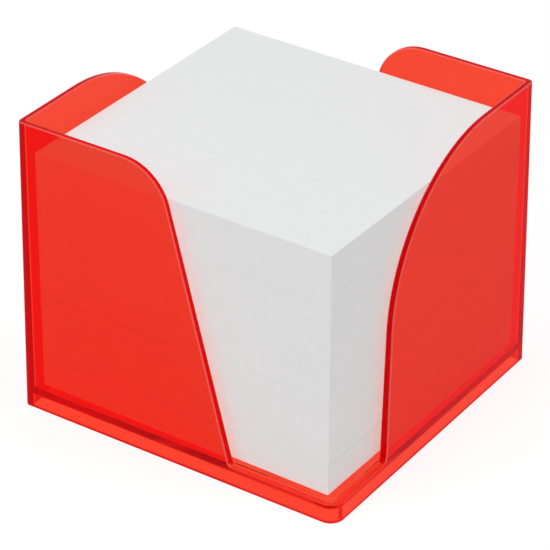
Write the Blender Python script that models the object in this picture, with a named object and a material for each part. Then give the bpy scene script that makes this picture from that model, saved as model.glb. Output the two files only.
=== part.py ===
"""Desk memo box of clear red polystyrene, with the pile of loose note sheets that it holds.

Metres, +Z up. The origin is the middle of the footprint, on the surface that the box stands on.
The box is one moulding: a floor plate on a hollow skirt, with two L-shaped wings that stand on
opposite corners. The other two corners are cut away down to the floor, so that fingers reach the
sheets. Half a turn about +Z brings the box onto itself.
"""

import math

import bmesh
import bpy
from mathutils import Matrix

# The loose sheets
SHEET_LENGTH = 0.0900          # along X
SHEET_WIDTH = 0.0870           # along Y
PILE_HEIGHT = 0.0700           # about 700 sheets of 0.1 mm paper
PILE_TURN = math.radians(-0.6)  # the pile lies slightly askew in the box
PILE_SHIFT_X = 0.0
PILE_SHIFT_Y = 0.00055
LAYER_GAP = 0.0003             # clearance under the pile and between its sheaves

# Where one sheaf ends and the next begins, as shares of the pile's height
SHEAF_SHARES = {
    "sheaf_bottom": (0.0, 0.125),
    "sheaf_lower": (0.125, 0.345),
    "sheaf_middle": (0.345, 0.400),
    "sheaf_upper": (0.400, 0.984),
    "sheets_top": (0.984, 1.0),
}

# The moulding
PLAY_LENGTH = 0.0021           # clearance between sheets and wall foot, at each end along X
PLAY_WIDTH = 0.0017            # the same along Y
WALL_FOOT = 0.0023             # wall thickness at the floor
WALL_RIM = 0.0016              # wall thickness at the rim, thinned by the mould's draft
WALL_LEAN = 0.0010             # how far the outer faces lean in between base and rim
BASE_HEIGHT = 0.0058           # from the table to the top of the floor plate
FLOOR_PLATE = 0.0020
SKIRT_WALL = 0.0020
RIM_ABOVE_PILE = 0.0098        # the wings stand this far above a full pile
WING_CORNER_RADIUS = 0.0015    # upright outer corner of each wing
OPEN_CORNER_RADIUS = 0.0040    # corner of the base where the walls are cut away
INNER_CORNER_RADIUS = 0.0009

# Free edges of the wings. A reach is measured along a face from the wing's own corner.
SLANT_FOOT_REACH = 0.0662      # straight slanted edge, at the floor
SLANT_RIM_REACH = 0.0446       # where its line meets the rim
SLANT_ROUND = 0.0140
SWEEP_FOOT_REACH = 0.0708      # long swept edge, at the floor
SWEEP_RIM_REACH = 0.0670
SWEEP_ROUND = 0.0445
FOOT_FILLET = 0.0015           # where a free edge runs into the floor
EDGE_SOFTENING = 0.00025       # small radius left by the mould on every free edge

CUT_OVERRUN = 0.004            # how far a cutter runs past the face that it opens
SOFTENING_LIMIT = math.radians(50)  # edges sharper than this are softened
ROUND_LIMIT_SHARE = 0.95       # a round takes at most this share of the shorter edge beside it
CORNER_STEPS = 6
PROFILE_STEPS = 20
FILLET_STEPS = 4

# Materials, with colours as linear RGB
RED_STYRENE = {"Base Color": (0.83, 0.02, 0.012, 1.0), "Roughness": 0.05, "Transmission Weight": 1.0, "IOR": 1.59}
PAPER_WHITE = {"Base Color": (0.86, 0.86, 0.85, 1.0), "Roughness": 0.9}

# Sizes that follow from the ones above
BASE_HALF_X = SHEET_LENGTH / 2 + PLAY_LENGTH + WALL_FOOT
BASE_HALF_Y = SHEET_WIDTH / 2 + PLAY_WIDTH + WALL_FOOT
BOX_HEIGHT = BASE_HEIGHT + PILE_HEIGHT + RIM_ABOVE_PILE
HALF_TURN = Matrix.Rotation(math.pi, 4, "Z")


def clear_scene():
    for item in list(bpy.data.objects):
        bpy.data.objects.remove(item, do_unlink=True)


def make_material(name, settings):
    material = bpy.data.materials.new(name)
    material.use_nodes = True
    shader = material.node_tree.nodes["Principled BSDF"]
    for label, value in settings.items():
        shader.inputs[label].default_value = value
    material.diffuse_color = settings["Base Color"]
    return material


def add_object(name, bm, material=None):
    bmesh.ops.recalc_face_normals(bm, faces=bm.faces)
    mesh = bpy.data.meshes.new(name)
    bm.to_mesh(mesh)
    bm.free()
    item = bpy.data.objects.new(name, mesh)
    bpy.context.scene.collection.objects.link(item)
    if material:
        mesh.materials.append(material)
    return item


def add_cutter(name, bm):
    cutter = add_object(name, bm)
    cutter.hide_render = True
    cutter.display_type = "WIRE"
    return cutter


def cut(target, cutter):
    boolean = target.modifiers.new(cutter.name, "BOOLEAN")
    boolean.operation = "DIFFERENCE"
    boolean.solver = "EXACT"
    boolean.object = cutter


# Sections of the moulding at a height

def outer_inset(z):
    """How far the outer faces have leaned in at height z."""
    return WALL_LEAN * z / BOX_HEIGHT


def wall_thickness(z):
    rise = (z - BASE_HEIGHT) / (BOX_HEIGHT - BASE_HEIGHT)
    return WALL_FOOT + (WALL_RIM - WALL_FOOT) * rise


def outline(inset, wing_radius, open_radius):
    """Corner points of the footprint, drawn in by inset, with its four corners rounded."""
    half_x = BASE_HALF_X - inset
    half_y = BASE_HALF_Y - inset
    corners = [(1, -1, open_radius), (1, 1, wing_radius), (-1, 1, open_radius), (-1, -1, wing_radius)]
    points = []
    for index, (side_x, side_y, radius) in enumerate(corners):
        centre_x = side_x * (half_x - radius)
        centre_y = side_y * (half_y - radius)
        for step in range(CORNER_STEPS + 1):
            angle = math.pi / 2 * (index - 1 + step / CORNER_STEPS)
            points.append((centre_x + radius * math.cos(angle), centre_y + radius * math.sin(angle)))
    return points


def loft(sections):
    """Closed body through outlines given as (height, points), lowest first."""
    bm = bmesh.new()
    rings = [[bm.verts.new((x, y, z)) for x, y in points] for z, points in sections]
    for low, high in zip(rings, rings[1:]):
        for index in range(len(low)):
            after = (index + 1) % len(low)
            bm.faces.new((low[index], low[after], high[after], high[index]))
    bm.faces.new(list(reversed(rings[0])))
    bm.faces.new(rings[-1])
    return bm


def outer_body():
    heights = (0.0, BOX_HEIGHT)
    return loft([(z, outline(outer_inset(z), WING_CORNER_RADIUS, OPEN_CORNER_RADIUS)) for z in heights])


def sheet_cavity():
    """The space for the sheets, open upwards, between the walls' inner faces."""
    heights = (BASE_HEIGHT, BOX_HEIGHT + CUT_OVERRUN)
    radius = INNER_CORNER_RADIUS
    return loft([(z, outline(outer_inset(z) + wall_thickness(z), radius, radius)) for z in heights])


def underside_hollow():
    """The hollow inside the skirt, open downwards."""
    heights = (-CUT_OVERRUN, BASE_HEIGHT - FLOOR_PLATE)
    open_radius = max(OPEN_CORNER_RADIUS - SKIRT_WALL, INNER_CORNER_RADIUS)
    return loft([(z, outline(SKIRT_WALL, INNER_CORNER_RADIUS, open_radius)) for z in heights])


# Free edges of the wings

def rounded_corner(before, corner, after, radius, steps):
    """Points of an arc that rounds a corner between two straight edges."""
    def direction(point):
        length = math.dist(corner, point)
        return (point[0] - corner[0]) / length, (point[1] - corner[1]) / length

    to_before = direction(before)
    to_after = direction(after)
    opening = math.acos(to_before[0] * to_after[0] + to_before[1] * to_after[1])
    shorter = min(math.dist(corner, before), math.dist(corner, after))
    tangent = min(radius / math.tan(opening / 2), ROUND_LIMIT_SHARE * shorter)
    radius = tangent * math.tan(opening / 2)
    middle = (to_before[0] + to_after[0], to_before[1] + to_after[1])
    reach = radius / math.sin(opening / 2) / math.hypot(*middle)
    centre = (corner[0] + middle[0] * reach, corner[1] + middle[1] * reach)
    start = (corner[0] + to_before[0] * tangent, corner[1] + to_before[1] * tangent)
    end = (corner[0] + to_after[0] * tangent, corner[1] + to_after[1] * tangent)
    first = math.atan2(start[1] - centre[1], start[0] - centre[0])
    turn = math.atan2(end[1] - centre[1], end[0] - centre[0]) - first
    turn = (turn + math.pi) % (2 * math.pi) - math.pi
    angles = [first + turn * step / steps for step in range(steps + 1)]
    return [(centre[0] + radius * math.cos(a), centre[1] + radius * math.sin(a)) for a in angles]


def opening_profile(foot_reach, rim_reach, rim_round, face_length):
    """Outline of what is cut from one face, as (reach, height), from the floor up over the rim."""
    beyond = face_length + CUT_OVERRUN
    above = BOX_HEIGHT + CUT_OVERRUN
    foot = (foot_reach, BASE_HEIGHT)
    rim = (rim_reach, BOX_HEIGHT)
    fillet = rounded_corner((beyond, BASE_HEIGHT), foot, rim, FOOT_FILLET, FILLET_STEPS)
    shoulder = rounded_corner(foot, rim, (0.0, BOX_HEIGHT), rim_round, PROFILE_STEPS)
    return fillet + shoulder + [(shoulder[-1][0], above), (beyond, above), (beyond, BASE_HEIGHT)]


def prism(profile, place_point, near, far):
    """Closed body that runs a flat profile from near to far along the axis left by place_point."""
    bm = bmesh.new()
    first = [bm.verts.new(place_point(reach, z, near)) for reach, z in profile]
    last = [bm.verts.new(place_point(reach, z, far)) for reach, z in profile]
    for index in range(len(profile)):
        after = (index + 1) % len(profile)
        bm.faces.new((first[index], first[after], last[after], last[index]))
    bm.faces.new(list(reversed(first)))
    bm.faces.new(last)
    return bm


def slant_cut():
    """Opens the long face at -Y, to the right of its slanted edge."""
    profile = opening_profile(SLANT_FOOT_REACH, SLANT_RIM_REACH, SLANT_ROUND, 2 * BASE_HALF_X)
    outside = BASE_HALF_Y + CUT_OVERRUN
    inside = BASE_HALF_Y - outer_inset(BOX_HEIGHT) - WALL_FOOT - PLAY_WIDTH
    return prism(profile, lambda reach, z, depth: (reach - BASE_HALF_X, -depth, z), outside, inside)


def sweep_cut():
    """Opens the face at +X, in front of its swept edge."""
    profile = opening_profile(SWEEP_FOOT_REACH, SWEEP_RIM_REACH, SWEEP_ROUND, 2 * BASE_HALF_Y)
    outside = BASE_HALF_X + CUT_OVERRUN
    inside = BASE_HALF_X - outer_inset(BOX_HEIGHT) - WALL_FOOT - PLAY_LENGTH
    return prism(profile, lambda reach, z, depth: (depth, BASE_HALF_Y - reach, z), outside, inside)


def soften_edges(item):
    bevel = item.modifiers.new("softened_edges", "BEVEL")
    bevel.width = EDGE_SOFTENING
    bevel.segments = 1
    bevel.limit_method = "ANGLE"
    bevel.angle_limit = SOFTENING_LIMIT
    bevel.miter_outer = "MITER_SHARP"


def make_memo_box(material):
    box = add_object("memo_box", outer_body(), material)
    cut(box, add_cutter("cut_cavity", sheet_cavity()))
    cut(box, add_cutter("cut_underside", underside_hollow()))
    for name, shape in (("slant", slant_cut), ("sweep", sweep_cut)):
        cut(box, add_cutter(f"cut_{name}_front", shape()))
        turned = shape()
        turned.transform(HALF_TURN)
        cut(box, add_cutter(f"cut_{name}_back", turned))
    soften_edges(box)
    return box


def make_sheaf(name, start_share, end_share, material):
    """A block of sheets, with its origin at the middle of its underside."""
    thickness = PILE_HEIGHT * (end_share - start_share) - LAYER_GAP
    bm = bmesh.new()
    bmesh.ops.create_cube(bm, size=1)
    bmesh.ops.scale(bm, vec=(SHEET_LENGTH, SHEET_WIDTH, thickness), verts=bm.verts)
    bmesh.ops.translate(bm, vec=(0, 0, thickness / 2), verts=bm.verts)
    sheaf = add_object(name, bm, material)
    underside = BASE_HEIGHT + PILE_HEIGHT * start_share + LAYER_GAP
    sheaf.location = (PILE_SHIFT_X, PILE_SHIFT_Y, underside)
    sheaf.rotation_euler = (0, 0, PILE_TURN)
    return sheaf


def main():
    clear_scene()
    styrene = make_material("clear_red_polystyrene", RED_STYRENE)
    make_memo_box(styrene)
    paper = make_material("white_note_paper", PAPER_WHITE)
    for name, (start_share, end_share) in SHEAF_SHARES.items():
        make_sheaf(name, start_share, end_share, paper)


main()
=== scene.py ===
import math
import random

import bmesh
import bpy
from mathutils import Matrix, Vector


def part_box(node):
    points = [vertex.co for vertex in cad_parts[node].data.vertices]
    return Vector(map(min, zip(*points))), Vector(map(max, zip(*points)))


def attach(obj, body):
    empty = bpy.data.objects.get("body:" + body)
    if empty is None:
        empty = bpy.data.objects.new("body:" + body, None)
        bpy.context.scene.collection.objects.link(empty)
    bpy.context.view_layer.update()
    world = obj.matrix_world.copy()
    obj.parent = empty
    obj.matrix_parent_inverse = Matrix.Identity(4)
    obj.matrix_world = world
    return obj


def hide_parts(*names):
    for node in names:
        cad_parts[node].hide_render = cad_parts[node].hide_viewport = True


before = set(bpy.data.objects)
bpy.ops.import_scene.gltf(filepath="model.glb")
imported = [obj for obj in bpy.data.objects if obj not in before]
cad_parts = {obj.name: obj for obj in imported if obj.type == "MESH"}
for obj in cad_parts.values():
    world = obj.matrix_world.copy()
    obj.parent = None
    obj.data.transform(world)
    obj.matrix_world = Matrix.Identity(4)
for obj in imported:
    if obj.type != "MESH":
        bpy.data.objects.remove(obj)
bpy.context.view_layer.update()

mm = 0.001
print("frame loaded")


def toLinear(hexColor):
    values = [int(hexColor[i:i + 2], 16) / 255 for i in (1, 3, 5)]
    return (*[v / 12.92 if v <= 0.04045 else ((v + 0.055) / 1.055) ** 2.4 for v in values], 1.0)


def addNode(tree, kind, settings=None, links=None):
    # settings go to inputs by name, or else to the node; links lead a socket to an input
    node = tree.nodes.new(kind)
    for name, value in (settings or {}).items():
        if name in node.inputs:
            node.inputs[name].default_value = value
        else:
            setattr(node, name, value)
    for name, source in (links or {}).items():
        tree.links.new(source, node.inputs[name])
    return node


def newMaterial(name):
    material = bpy.data.materials.new(name)
    material.use_nodes = True
    material.node_tree.nodes.clear()
    return material, material.node_tree


def mixColors(tree, factor, first, second):
    mixed = addNode(tree, "ShaderNodeMix", {"data_type": "RGBA"}, {"Factor": factor})
    for socket, color in ((6, first), (7, second)):   # a colour mix has A and B at 6 and 7
        mixed.inputs[socket].default_value = color
    return mixed.outputs[2]


def largest(tree, values):
    total = values[0]
    for value in values[1:]:
        most = addNode(tree, "ShaderNodeMath", {"operation": "MAXIMUM"})
        tree.links.new(total, most.inputs[0])
        tree.links.new(value, most.inputs[1])
        total = most.outputs[0]
    return total


def meshPiece(name, bm, material=None):
    mesh = bpy.data.meshes.new(name)
    bm.to_mesh(mesh)
    bm.free()
    if material:
        mesh.materials.append(material)
    piece = bpy.data.objects.new(name, mesh)
    bpy.context.scene.collection.objects.link(piece)
    return piece


# Clear red polystyrene, injection moulded in a polished mould: glossy, a little softened by
# handling, with a strong red that deepens with thickness, and cut edges that go dark because
# light runs a long way inside.
styrene = {
    "tint": "#fb533e",
    "ior": 1.59,
    "gleam": "#ff4a55",                   # reflections take on the red of the plastic
    "arrisGleam": "#ffffff",              # rounded arrises catch the light plainly
    "arrisHighlightTint": "#ff6a60",               # painted highlight: a lighter red along the arrises
    "arrisClear": 0.70,                   # share of light that still goes through an arris
    "skin": 1.0,                          # nm of the same plastic: keeps slanting reflections red
    "absorbed": (9.0, 160.0, 240.0),      # per metre, for red, green and blue
    "polish": (0.06, 0.10),               # roughness of clean and of handled spots
    "handledSpots": 22 * mm,
    "handledDetail": 3.0,
    "handledRange": (0.35, 0.7),          # noise values of clean and of handled plastic
    "flow": 30 * mm,                      # the faint waves that the melt leaves
    "flowDetail": 1.0,
    "flowDepth": 0.02 * mm,
    "flowStrength": 0.3,
    "lampPasses": (1.28, 0.88, 1.12),     # lamp light through a wall; over 1 offsets absorption
    "bouncePasses": (1.28, 1.46, 1.67),   # light from the paper and the table through a wall
    "trapped": (5, 17),                   # bounces at which light starts to leak, and has leaked
}


def makeStyrene():
    material, tree = newMaterial("clearRedPolystyreneMoulded")
    place = addNode(tree, "ShaderNodeTexCoord")
    spots = addNode(tree, "ShaderNodeTexNoise",
                    {"Scale": 1 / styrene["handledSpots"], "Detail": styrene["handledDetail"]},
                    {"Vector": place.outputs["Object"]})
    polish = addNode(tree, "ShaderNodeMapRange", {
        "From Min": styrene["handledRange"][0],
        "From Max": styrene["handledRange"][1],
        "To Min": styrene["polish"][0],
        "To Max": styrene["polish"][1],
    }, {"Value": spots.outputs["Fac"]})
    flow = addNode(tree, "ShaderNodeTexNoise",
                   {"Scale": 1 / styrene["flow"], "Detail": styrene["flowDetail"]},
                   {"Vector": place.outputs["Object"]})
    waves = addNode(tree, "ShaderNodeBump",
                    {"Strength": styrene["flowStrength"], "Distance": styrene["flowDepth"]},
                    {"Height": flow.outputs["Fac"]})
    # arris faces get a painted highlight: a lighter colour, a diffuse share and untinted
    # reflections
    arrisHighlight = addNode(tree, "ShaderNodeAttribute", {"attribute_name": "arrisHighlight"}).outputs["Fac"]
    gleam = mixColors(tree, arrisHighlight, toLinear(styrene["gleam"]), toLinear(styrene["arrisGleam"]))
    tint = mixColors(tree, arrisHighlight, toLinear(styrene["tint"]), toLinear(styrene["arrisHighlightTint"]))
    clear = addNode(tree, "ShaderNodeMapRange", {"To Min": 1.0, "To Max": styrene["arrisClear"]},
                    {"Value": arrisHighlight})
    plastic = addNode(tree, "ShaderNodeBsdfPrincipled", {
        "IOR": styrene["ior"],
        "Thin Film Thickness": styrene["skin"],
        "Thin Film IOR": styrene["ior"],
    }, {
        "Base Color": tint,
        "Transmission Weight": clear.outputs["Result"],
        "Roughness": polish.outputs["Result"],
        "Normal": waves.outputs["Normal"],
        "Specular Tint": gleam,
    })
    # lamps and bounced light pass straight through, so the paper behind a wall is lit in red,
    # and light that has run along inside a wall leaks out: cut edges are dark red, not black
    ray = addNode(tree, "ShaderNodeLightPath").outputs
    trapped = addNode(tree, "ShaderNodeMapRange",
                      {"From Min": styrene["trapped"][0], "From Max": styrene["trapped"][1]},
                      {"Value": ray["Ray Depth"]})
    leaking = trapped.outputs["Result"]
    passing = largest(tree, [leaking, ray["Is Shadow Ray"], ray["Is Diffuse Ray"]])
    # a wall has two faces, and each lets the square root through
    perFace = [(*[math.sqrt(c) for c in styrene[key]], 1) for key in ("lampPasses", "bouncePasses")]
    through = mixColors(tree, ray["Is Diffuse Ray"], *perFace)
    straight = addNode(tree, "ShaderNodeBsdfTransparent", {}, {"Color": through})
    surface = addNode(tree, "ShaderNodeMixShader")
    tree.links.new(passing, surface.inputs[0])
    tree.links.new(plastic.outputs[0], surface.inputs[1])
    tree.links.new(straight.outputs[0], surface.inputs[2])
    density = max(styrene["absorbed"])
    depth = addNode(tree, "ShaderNodeVolumeAbsorption", {
        "Color": (*[1 - a / density for a in styrene["absorbed"]], 1.0), "Density": density})
    addNode(tree, "ShaderNodeOutputMaterial", {},
            {"Surface": surface.outputs[0], "Volume": depth.outputs[0]})
    return material


# Uncoated white note paper, guillotine cut: dull, faintly cloudy from its fibres.
paper = {
    "color": "#f0f1f1",
    "cloud": "#ececed",
    "cloudSize": 2.5 * mm,
    "cloudDetail": 4.0,
    "fibre": 0.35 * mm,                   # real fibres are finer; drawn coarse enough to show
    "fibreDetail": 2.0,
    "fibreDepth": 0.01 * mm,
    "fibreStrength": 0.4,
    "roughness": (0.82, 0.95),
    "specular": 0.25,
}


def makePaper():
    material, tree = newMaterial("whiteNotePaperUncoated")
    place = addNode(tree, "ShaderNodeTexCoord")
    cloud = addNode(tree, "ShaderNodeTexNoise",
                    {"Scale": 1 / paper["cloudSize"], "Detail": paper["cloudDetail"]},
                    {"Vector": place.outputs["Object"]})
    color = mixColors(tree, cloud.outputs["Fac"],
                      toLinear(paper["cloud"]), toLinear(paper["color"]))
    rough = addNode(tree, "ShaderNodeMapRange",
                    {"To Min": paper["roughness"][0], "To Max": paper["roughness"][1]},
                    {"Value": cloud.outputs["Fac"]})
    fibre = addNode(tree, "ShaderNodeTexNoise",
                    {"Scale": 1 / paper["fibre"], "Detail": paper["fibreDetail"]},
                    {"Vector": place.outputs["Object"]})
    grain = addNode(tree, "ShaderNodeBump",
                    {"Strength": paper["fibreStrength"], "Distance": paper["fibreDepth"]},
                    {"Height": fibre.outputs["Fac"]})
    sheet = addNode(tree, "ShaderNodeBsdfPrincipled", {"Specular IOR Level": paper["specular"]},
                    {"Base Color": color, "Roughness": rough.outputs["Result"],
                     "Normal": grain.outputs["Normal"]})
    addNode(tree, "ShaderNodeOutputMaterial", {}, {"Surface": sheet.outputs[0]})
    return material


styreneMaterial = makeStyrene()
paperMaterial = makePaper()
print("materials made")


# The box: floor plate on a hollow skirt, two L-shaped wings on opposite corners. Sizes in mm.
box = {
    "base": (98.8, 95.0),
    "height": 85.6,
    "lean": 1.0,                          # the outer faces lean in from base to rim
    "wallFoot": 2.3,
    "wallRim": 1.6,
    "baseHeight": 5.8,
    "floorPlate": 2.0,
    "skirtWall": 2.0,
    "wingCorner": 1.5,
    "openCorner": 4.0,
    "innerCorner": 0.9,
    "slant": (66.2, 44.6, 14.0),          # reach at the floor, reach at the rim, round
    "sweep": (70.8, 67.0, 44.5),
    "footFillet": 1.5,
    "edgeRadius": 0.30,
    "edgeSegments": 3,
    "edgeAngle": 50.0,                    # degrees; shallower edges stay as they are
    "baseArrisHighlight": 0.3,                     # painted highlight is weaker on the base's arrises
    "overrun": 4.0,                       # how far the cutters go beyond what they cut
    "slantCut": 0.7,                      # the openings' cutters go this much further in
    "sweepCut": 1.2,
    "roundShare": 0.95,                   # a round takes at most this share of an edge
    "weld": 0.002,                        # points closer than this are one
    "flat": 0.05,                         # degrees; faces that differ by less are one
    "faceWeight": 100,
    "cornerSteps": 14,
    "profileSteps": 56,
    "filletSteps": 8,
}


def inset(z):
    return box["lean"] * z / box["height"]


def wallAt(z):
    rise = (z - box["baseHeight"]) / (box["height"] - box["baseHeight"])
    return box["wallFoot"] + (box["wallRim"] - box["wallFoot"]) * rise


def footprint(drawnIn, wingRadius, openRadius):
    halfX, halfY = box["base"][0] / 2 - drawnIn, box["base"][1] / 2 - drawnIn
    steps, points = box["cornerSteps"], []
    corners = [(1, -1, openRadius), (1, 1, wingRadius), (-1, 1, openRadius), (-1, -1, wingRadius)]
    for index, (sideX, sideY, radius) in enumerate(corners):
        for step in range(steps + 1):
            angle = math.pi / 2 * (index - 1 + step / steps)
            points.append((sideX * (halfX - radius) + radius * math.cos(angle),
                           sideY * (halfY - radius) + radius * math.sin(angle)))
    return points


def loft(sections):
    bm = bmesh.new()
    rings = [[bm.verts.new((x * mm, y * mm, z * mm)) for x, y in points] for z, points in sections]
    for low, high in zip(rings, rings[1:]):
        for i in range(len(low)):
            j = (i + 1) % len(low)
            bm.faces.new((low[i], low[j], high[j], high[i]))
    bm.faces.new(list(reversed(rings[0])))
    bm.faces.new(rings[-1])
    bmesh.ops.recalc_face_normals(bm, faces=bm.faces)
    return bm


def arc(before, corner, after, radius, steps):
    before, corner, after = Vector(before), Vector(corner), Vector(after)
    toBefore, toAfter = (before - corner).normalized(), (after - corner).normalized()
    opening = toBefore.angle(toAfter)
    shorter = min((before - corner).length, (after - corner).length)
    tangent = min(radius / math.tan(opening / 2), box["roundShare"] * shorter)
    radius = tangent * math.tan(opening / 2)
    centre = corner + (toBefore + toAfter).normalized() * radius / math.sin(opening / 2)
    start, end = corner + toBefore * tangent - centre, corner + toAfter * tangent - centre
    first = math.atan2(start.y, start.x)
    turn = (math.atan2(end.y, end.x) - first + math.pi) % (2 * math.pi) - math.pi
    angles = [first + turn * step / steps for step in range(steps + 1)]
    return [(centre.x + radius * math.cos(a), centre.y + radius * math.sin(a)) for a in angles]


def openingProfile(reaches, faceLength):
    footReach, rimReach, rimRound = reaches
    floor, rim = box["baseHeight"], box["height"]
    beyond, above = faceLength + box["overrun"], rim + box["overrun"]
    foot = arc((beyond, floor), (footReach, floor), (rimReach, rim),
               box["footFillet"], box["filletSteps"])
    shoulder = arc((footReach, floor), (rimReach, rim), (0.0, rim), rimRound, box["profileSteps"])
    return foot + shoulder + [(shoulder[-1][0], above), (beyond, above), (beyond, floor)]


def prism(profile, place, near, far):
    bm = bmesh.new()
    first = [bm.verts.new(Vector(place(u, z, near)) * mm) for u, z in profile]
    last = [bm.verts.new(Vector(place(u, z, far)) * mm) for u, z in profile]
    for i in range(len(profile)):
        j = (i + 1) % len(profile)
        bm.faces.new((first[i], first[j], last[j], last[i]))
    bm.faces.new(list(reversed(first)))
    bm.faces.new(last)
    bmesh.ops.recalc_face_normals(bm, faces=bm.faces)
    return bm


def cleanMesh(mesh, joinFlatFaces=False):
    bm = bmesh.new()
    bm.from_mesh(mesh)
    bmesh.ops.remove_doubles(bm, verts=bm.verts, dist=box["weld"] * mm)
    bmesh.ops.dissolve_degenerate(bm, edges=bm.edges, dist=box["weld"] * mm)
    if joinFlatFaces:
        flat = math.radians(box["flat"])
        bmesh.ops.dissolve_limit(bm, angle_limit=flat, verts=bm.verts, edges=bm.edges)
    bm.to_mesh(mesh)
    bm.free()


def applyModifiers(piece):
    depsgraph = bpy.context.evaluated_depsgraph_get()
    mesh = bpy.data.meshes.new_from_object(piece.evaluated_get(depsgraph))
    piece.modifiers.clear()
    piece.data = mesh
    return mesh


def makeCutters():
    halfX, halfY = box["base"][0] / 2, box["base"][1] / 2
    floor, over, inner = box["baseHeight"], box["overrun"], box["innerCorner"]
    cavity = loft([(z, footprint(inset(z) + wallAt(z), inner, inner))
                   for z in (floor, box["height"] + over)])
    skirt = footprint(box["skirtWall"], inner, box["openCorner"] - box["skirtWall"])
    hollow = loft([(z, skirt) for z in (-over, floor - box["floorPlate"])])
    cutters = [cavity, hollow]
    openings = [
        lambda: prism(openingProfile(box["slant"], 2 * halfX), lambda u, z, d: (u - halfX, -d, z),
                      halfY + over, halfY - over - box["slantCut"]),
        lambda: prism(openingProfile(box["sweep"], 2 * halfY), lambda u, z, d: (d, halfY - u, z),
                      halfX + over, halfX - over - box["sweepCut"]),
    ]
    for opening in openings:
        front, back = opening(), opening()
        back.transform(Matrix.Rotation(math.pi, 4, "Z"))
        cutters += [front, back]
    return cutters


def markArrises(mesh, arrisSlot):
    arrisHighlight = mesh.attributes.new("arrisHighlight", "FLOAT", "FACE")
    for face in mesh.polygons:
        if face.material_index == arrisSlot:
            # the value is how strong the painted highlight is on that arris
            onBase = face.center.z < box["baseHeight"] * mm
            arrisHighlight.data[face.index].value = box["baseArrisHighlight"] if onBase else 1.0
        face.material_index = 0
    mesh.materials.pop(index=arrisSlot)


def buildBox():
    outside = loft([(z, footprint(inset(z), box["wingCorner"], box["openCorner"]))
                    for z in (0.0, box["height"])])
    body = meshPiece("memoBoxMoulding", outside, styreneMaterial)
    tools = []
    for index, bm in enumerate(makeCutters()):
        tool = meshPiece(f"tool{index}", bm)
        cut = body.modifiers.new(tool.name, "BOOLEAN")
        cut.operation, cut.solver, cut.object = "DIFFERENCE", "EXACT", tool
        tools.append(tool)
    mesh = applyModifiers(body)
    for tool in tools:
        bpy.data.objects.remove(tool, do_unlink=True)
    cleanMesh(mesh, joinFlatFaces=True)
    for face in mesh.polygons:
        face.use_smooth = True
    mesh.materials.append(None)           # the bevel's faces get this slot until they are marked
    arrisSlot = len(mesh.materials) - 1
    soften = body.modifiers.new("moulded_edges", "BEVEL")
    soften.width, soften.segments = box["edgeRadius"] * mm, box["edgeSegments"]
    soften.limit_method, soften.angle_limit = "ANGLE", math.radians(box["edgeAngle"])
    soften.miter_outer = "MITER_ARC"
    soften.material = arrisSlot
    rounded = applyModifiers(body)
    cleanMesh(rounded)
    markArrises(rounded, arrisSlot)
    even = body.modifiers.new("flat_faces", "WEIGHTED_NORMAL")
    even.mode, even.weight, even.keep_sharp = "FACE_AREA", box["faceWeight"], False
    return body


moulding = buildBox()
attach(moulding, "box")
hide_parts("memo_box")
print("box made:", len(moulding.data.polygons), "faces")


# The loose sheets. Each sheaf is its own piece, and its sheets lie a little unevenly. Sizes in mm.
pile = {
    "sheet": (90.0, 87.0),
    "thickness": 0.1,
    "turn": -0.6,                         # degrees
    "shift": (0.0, 0.55),
    "scatter": 0.010,                     # how far one sheet lies out of line
    "turnScatter": 0.01,                  # degrees
    "drift": 0.03,                        # how far the line itself wanders
    "driftLength": 9.0,
    "driftPhase": (0.4, 1.9),             # radians, along and across
    "ripple": (0.6, 2.3),                 # second wave: its share and how much quicker it is
    "overFloor": 0.02,
    "between": 0.01,                      # air between two sheaves
    "sheaves": {                          # node: body, how far the whole sheaf lies out of line
        "sheaf_bottom": ("bottom_sheets", (0.08, -0.24)),
        "sheaf_lower": ("lower_sheets", (0.0, 0.02)),
        "sheaf_middle": ("middle_sheets", (0.06, -0.18)),
        "sheaf_upper": ("upper_sheets", (-0.02, 0.03)),
        "sheets_top": ("top_sheets", (0.0, 0.0)),
    },
    "seed": 7,
}


def drift(z, phase):
    length, (share, quicker) = pile["driftLength"], pile["ripple"]
    wave = math.sin(z / length + phase) + share * math.sin(quicker * z / length + 2 * phase)
    return pile["drift"] * wave / (1 + share)


def buildSheaf(node, under, chance):
    body, (outX, outY) = pile["sheaves"][node]
    halfX, halfY = pile["sheet"][0] / 2, pile["sheet"][1] / 2
    phaseX, phaseY = pile["driftPhase"]
    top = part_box(node)[1][2] / mm
    count = max(1, round((top - under) / pile["thickness"]))
    step = (top - under) / count
    bm = bmesh.new()
    for index in range(count):
        low = under + index * step
        high = low + step
        x = outX + drift(low, phaseX) + chance.gauss(0, pile["scatter"])
        y = outY + drift(low, phaseY) + chance.gauss(0, pile["scatter"])
        turn = Matrix.Rotation(math.radians(chance.gauss(0, pile["turnScatter"])), 2)
        corners = [turn @ Vector((sx * halfX, sy * halfY)) + Vector((x, y))
                   for sx, sy in ((-1, -1), (1, -1), (1, 1), (-1, 1))]
        rings = [[bm.verts.new((c.x * mm, c.y * mm, z * mm)) for c in corners] for z in (low, high)]
        bm.faces.new(list(reversed(rings[0])))
        bm.faces.new(rings[1])
        for i in range(4):
            j = (i + 1) % 4
            bm.faces.new((rings[0][i], rings[0][j], rings[1][j], rings[1][i]))
    place = Matrix.Translation((pile["shift"][0] * mm, pile["shift"][1] * mm, 0)) @ \
        Matrix.Rotation(math.radians(pile["turn"]), 4, "Z")
    bm.transform(place)
    piece = meshPiece(node + "_leaves", bm, paperMaterial)
    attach(piece, body)
    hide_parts(node)
    print(node, "made:", count, "sheets")
    return top + pile["between"]


chance = random.Random(pile["seed"])
under = box["baseHeight"] + pile["overFloor"]
for node in pile["sheaves"]:
    under = buildSheaf(node, under, chance)


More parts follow.
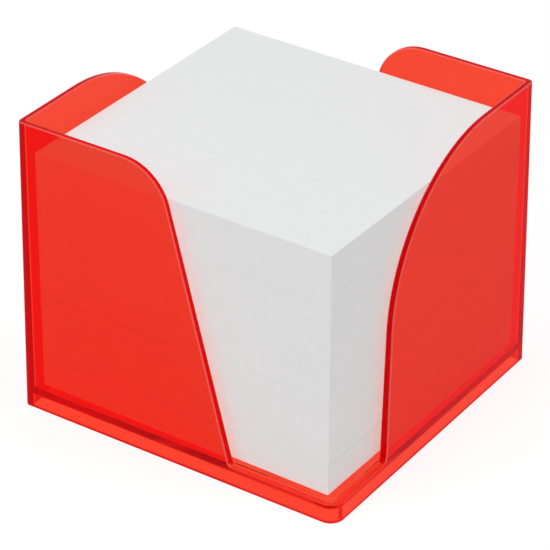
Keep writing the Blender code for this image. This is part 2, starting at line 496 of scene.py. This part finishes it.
# Table and surroundings: white to the camera and to clear plastic, plain soft light on the part.
studio = {
    "white": 1.0,                         # what the camera, gloss and clear plastic see
    "skyLight": 0.35,                     # what lights the object
    "tableGlow": 0.80,
    "tableShade": 0.25,                   # share of the table that still shows a shadow
    "tableBounce": 0.92,
    "tableSize": 8.0,
    "tableBelow": 0.05 * mm,
    "wallBounces": 96,                    # light runs a long way inside a clear wall
    "clearBounces": 24,
}


def seenDirectly(tree):
    # 1 for rays from the camera, in gloss and through clear plastic
    ray = addNode(tree, "ShaderNodeLightPath").outputs
    return largest(tree, [ray["Is Camera Ray"], ray["Is Glossy Ray"], ray["Is Transmission Ray"]])


def buildStudio():
    world = bpy.data.worlds.new("whiteStudio")
    bpy.context.scene.world = world
    world.use_nodes = True
    tree = world.node_tree
    tree.nodes.clear()
    strength = addNode(tree, "ShaderNodeMapRange",
                       {"To Min": studio["skyLight"], "To Max": studio["white"]},
                       {"Value": seenDirectly(tree)})
    sky = addNode(tree, "ShaderNodeBackground", {"Color": (1, 1, 1, 1)},
                  {"Strength": strength.outputs["Result"]})
    addNode(tree, "ShaderNodeOutputWorld", {}, {"Surface": sky.outputs[0]})

    material, tree = newMaterial("whiteTable")
    bounce = addNode(tree, "ShaderNodeBsdfDiffuse", {"Color": (*[studio["tableBounce"]] * 3, 1)})
    shade = addNode(tree, "ShaderNodeBsdfDiffuse", {"Color": (*[studio["tableShade"]] * 3, 1)})
    glow = addNode(tree, "ShaderNodeEmission", {"Strength": studio["tableGlow"]})
    shown = addNode(tree, "ShaderNodeAddShader")
    tree.links.new(shade.outputs[0], shown.inputs[0])
    tree.links.new(glow.outputs[0], shown.inputs[1])
    both = addNode(tree, "ShaderNodeMixShader")
    tree.links.new(seenDirectly(tree), both.inputs[0])
    tree.links.new(bounce.outputs[0], both.inputs[1])
    tree.links.new(shown.outputs[0], both.inputs[2])
    addNode(tree, "ShaderNodeOutputMaterial", {}, {"Surface": both.outputs[0]})
    bm = bmesh.new()
    bmesh.ops.create_grid(bm, x_segments=1, y_segments=1, size=studio["tableSize"] / 2)
    bmesh.ops.translate(bm, verts=bm.verts, vec=(0, 0, -studio["tableBelow"]))
    meshPiece("table", bm, material)


lampAim = (0.0, 0.0, 0.045)
lamps = {
    "key": {"at": (-0.35, -0.75, 0.65), "size": 0.6, "watts": 2.95},
    "fill": {"at": (0.80, -0.25, 0.55), "size": 0.6, "watts": 1.75},
    "over": {"at": (0.0, 0.1, 1.1), "size": 0.9, "watts": 4.5},
}


def buildLamps():
    for name, settings in lamps.items():
        data = bpy.data.lights.new(name, "AREA")
        data.shape, data.size, data.energy = "SQUARE", settings["size"], settings["watts"]
        lamp = bpy.data.objects.new(name, data)
        lamp.location = settings["at"]
        towards = Vector(lampAim) - lamp.location
        lamp.rotation_euler = towards.to_track_quat("-Z", "Y").to_euler()
        lamp.visible_camera = lamp.visible_glossy = lamp.visible_transmission = False
        bpy.context.scene.collection.objects.link(lamp)


view = {
    "at": (0.36550, -0.54425, 0.43328),
    "turned": (58.6183, -0.1565, 34.0518),   # degrees
    "lens": 189.93,
    "sensor": 36,
    "clip": (0.01, 20),
}


def buildCamera():
    data = bpy.data.cameras.new("camera")
    data.lens, data.sensor_width = view["lens"], view["sensor"]
    data.clip_start, data.clip_end = view["clip"]
    camera = bpy.data.objects.new("camera", data)
    camera.location = view["at"]
    camera.rotation_euler = [math.radians(a) for a in view["turned"]]
    bpy.context.scene.collection.objects.link(camera)
    bpy.context.scene.camera = camera


buildStudio()
buildLamps()
buildCamera()
scene = bpy.context.scene
scene.view_settings.view_transform = "Standard"
for limit in ("max_bounces", "glossy_bounces", "transmission_bounces"):
    setattr(scene.cycles, limit, studio["wallBounces"])
scene.cycles.transparent_max_bounces = studio["clearBounces"]
print("studio made")
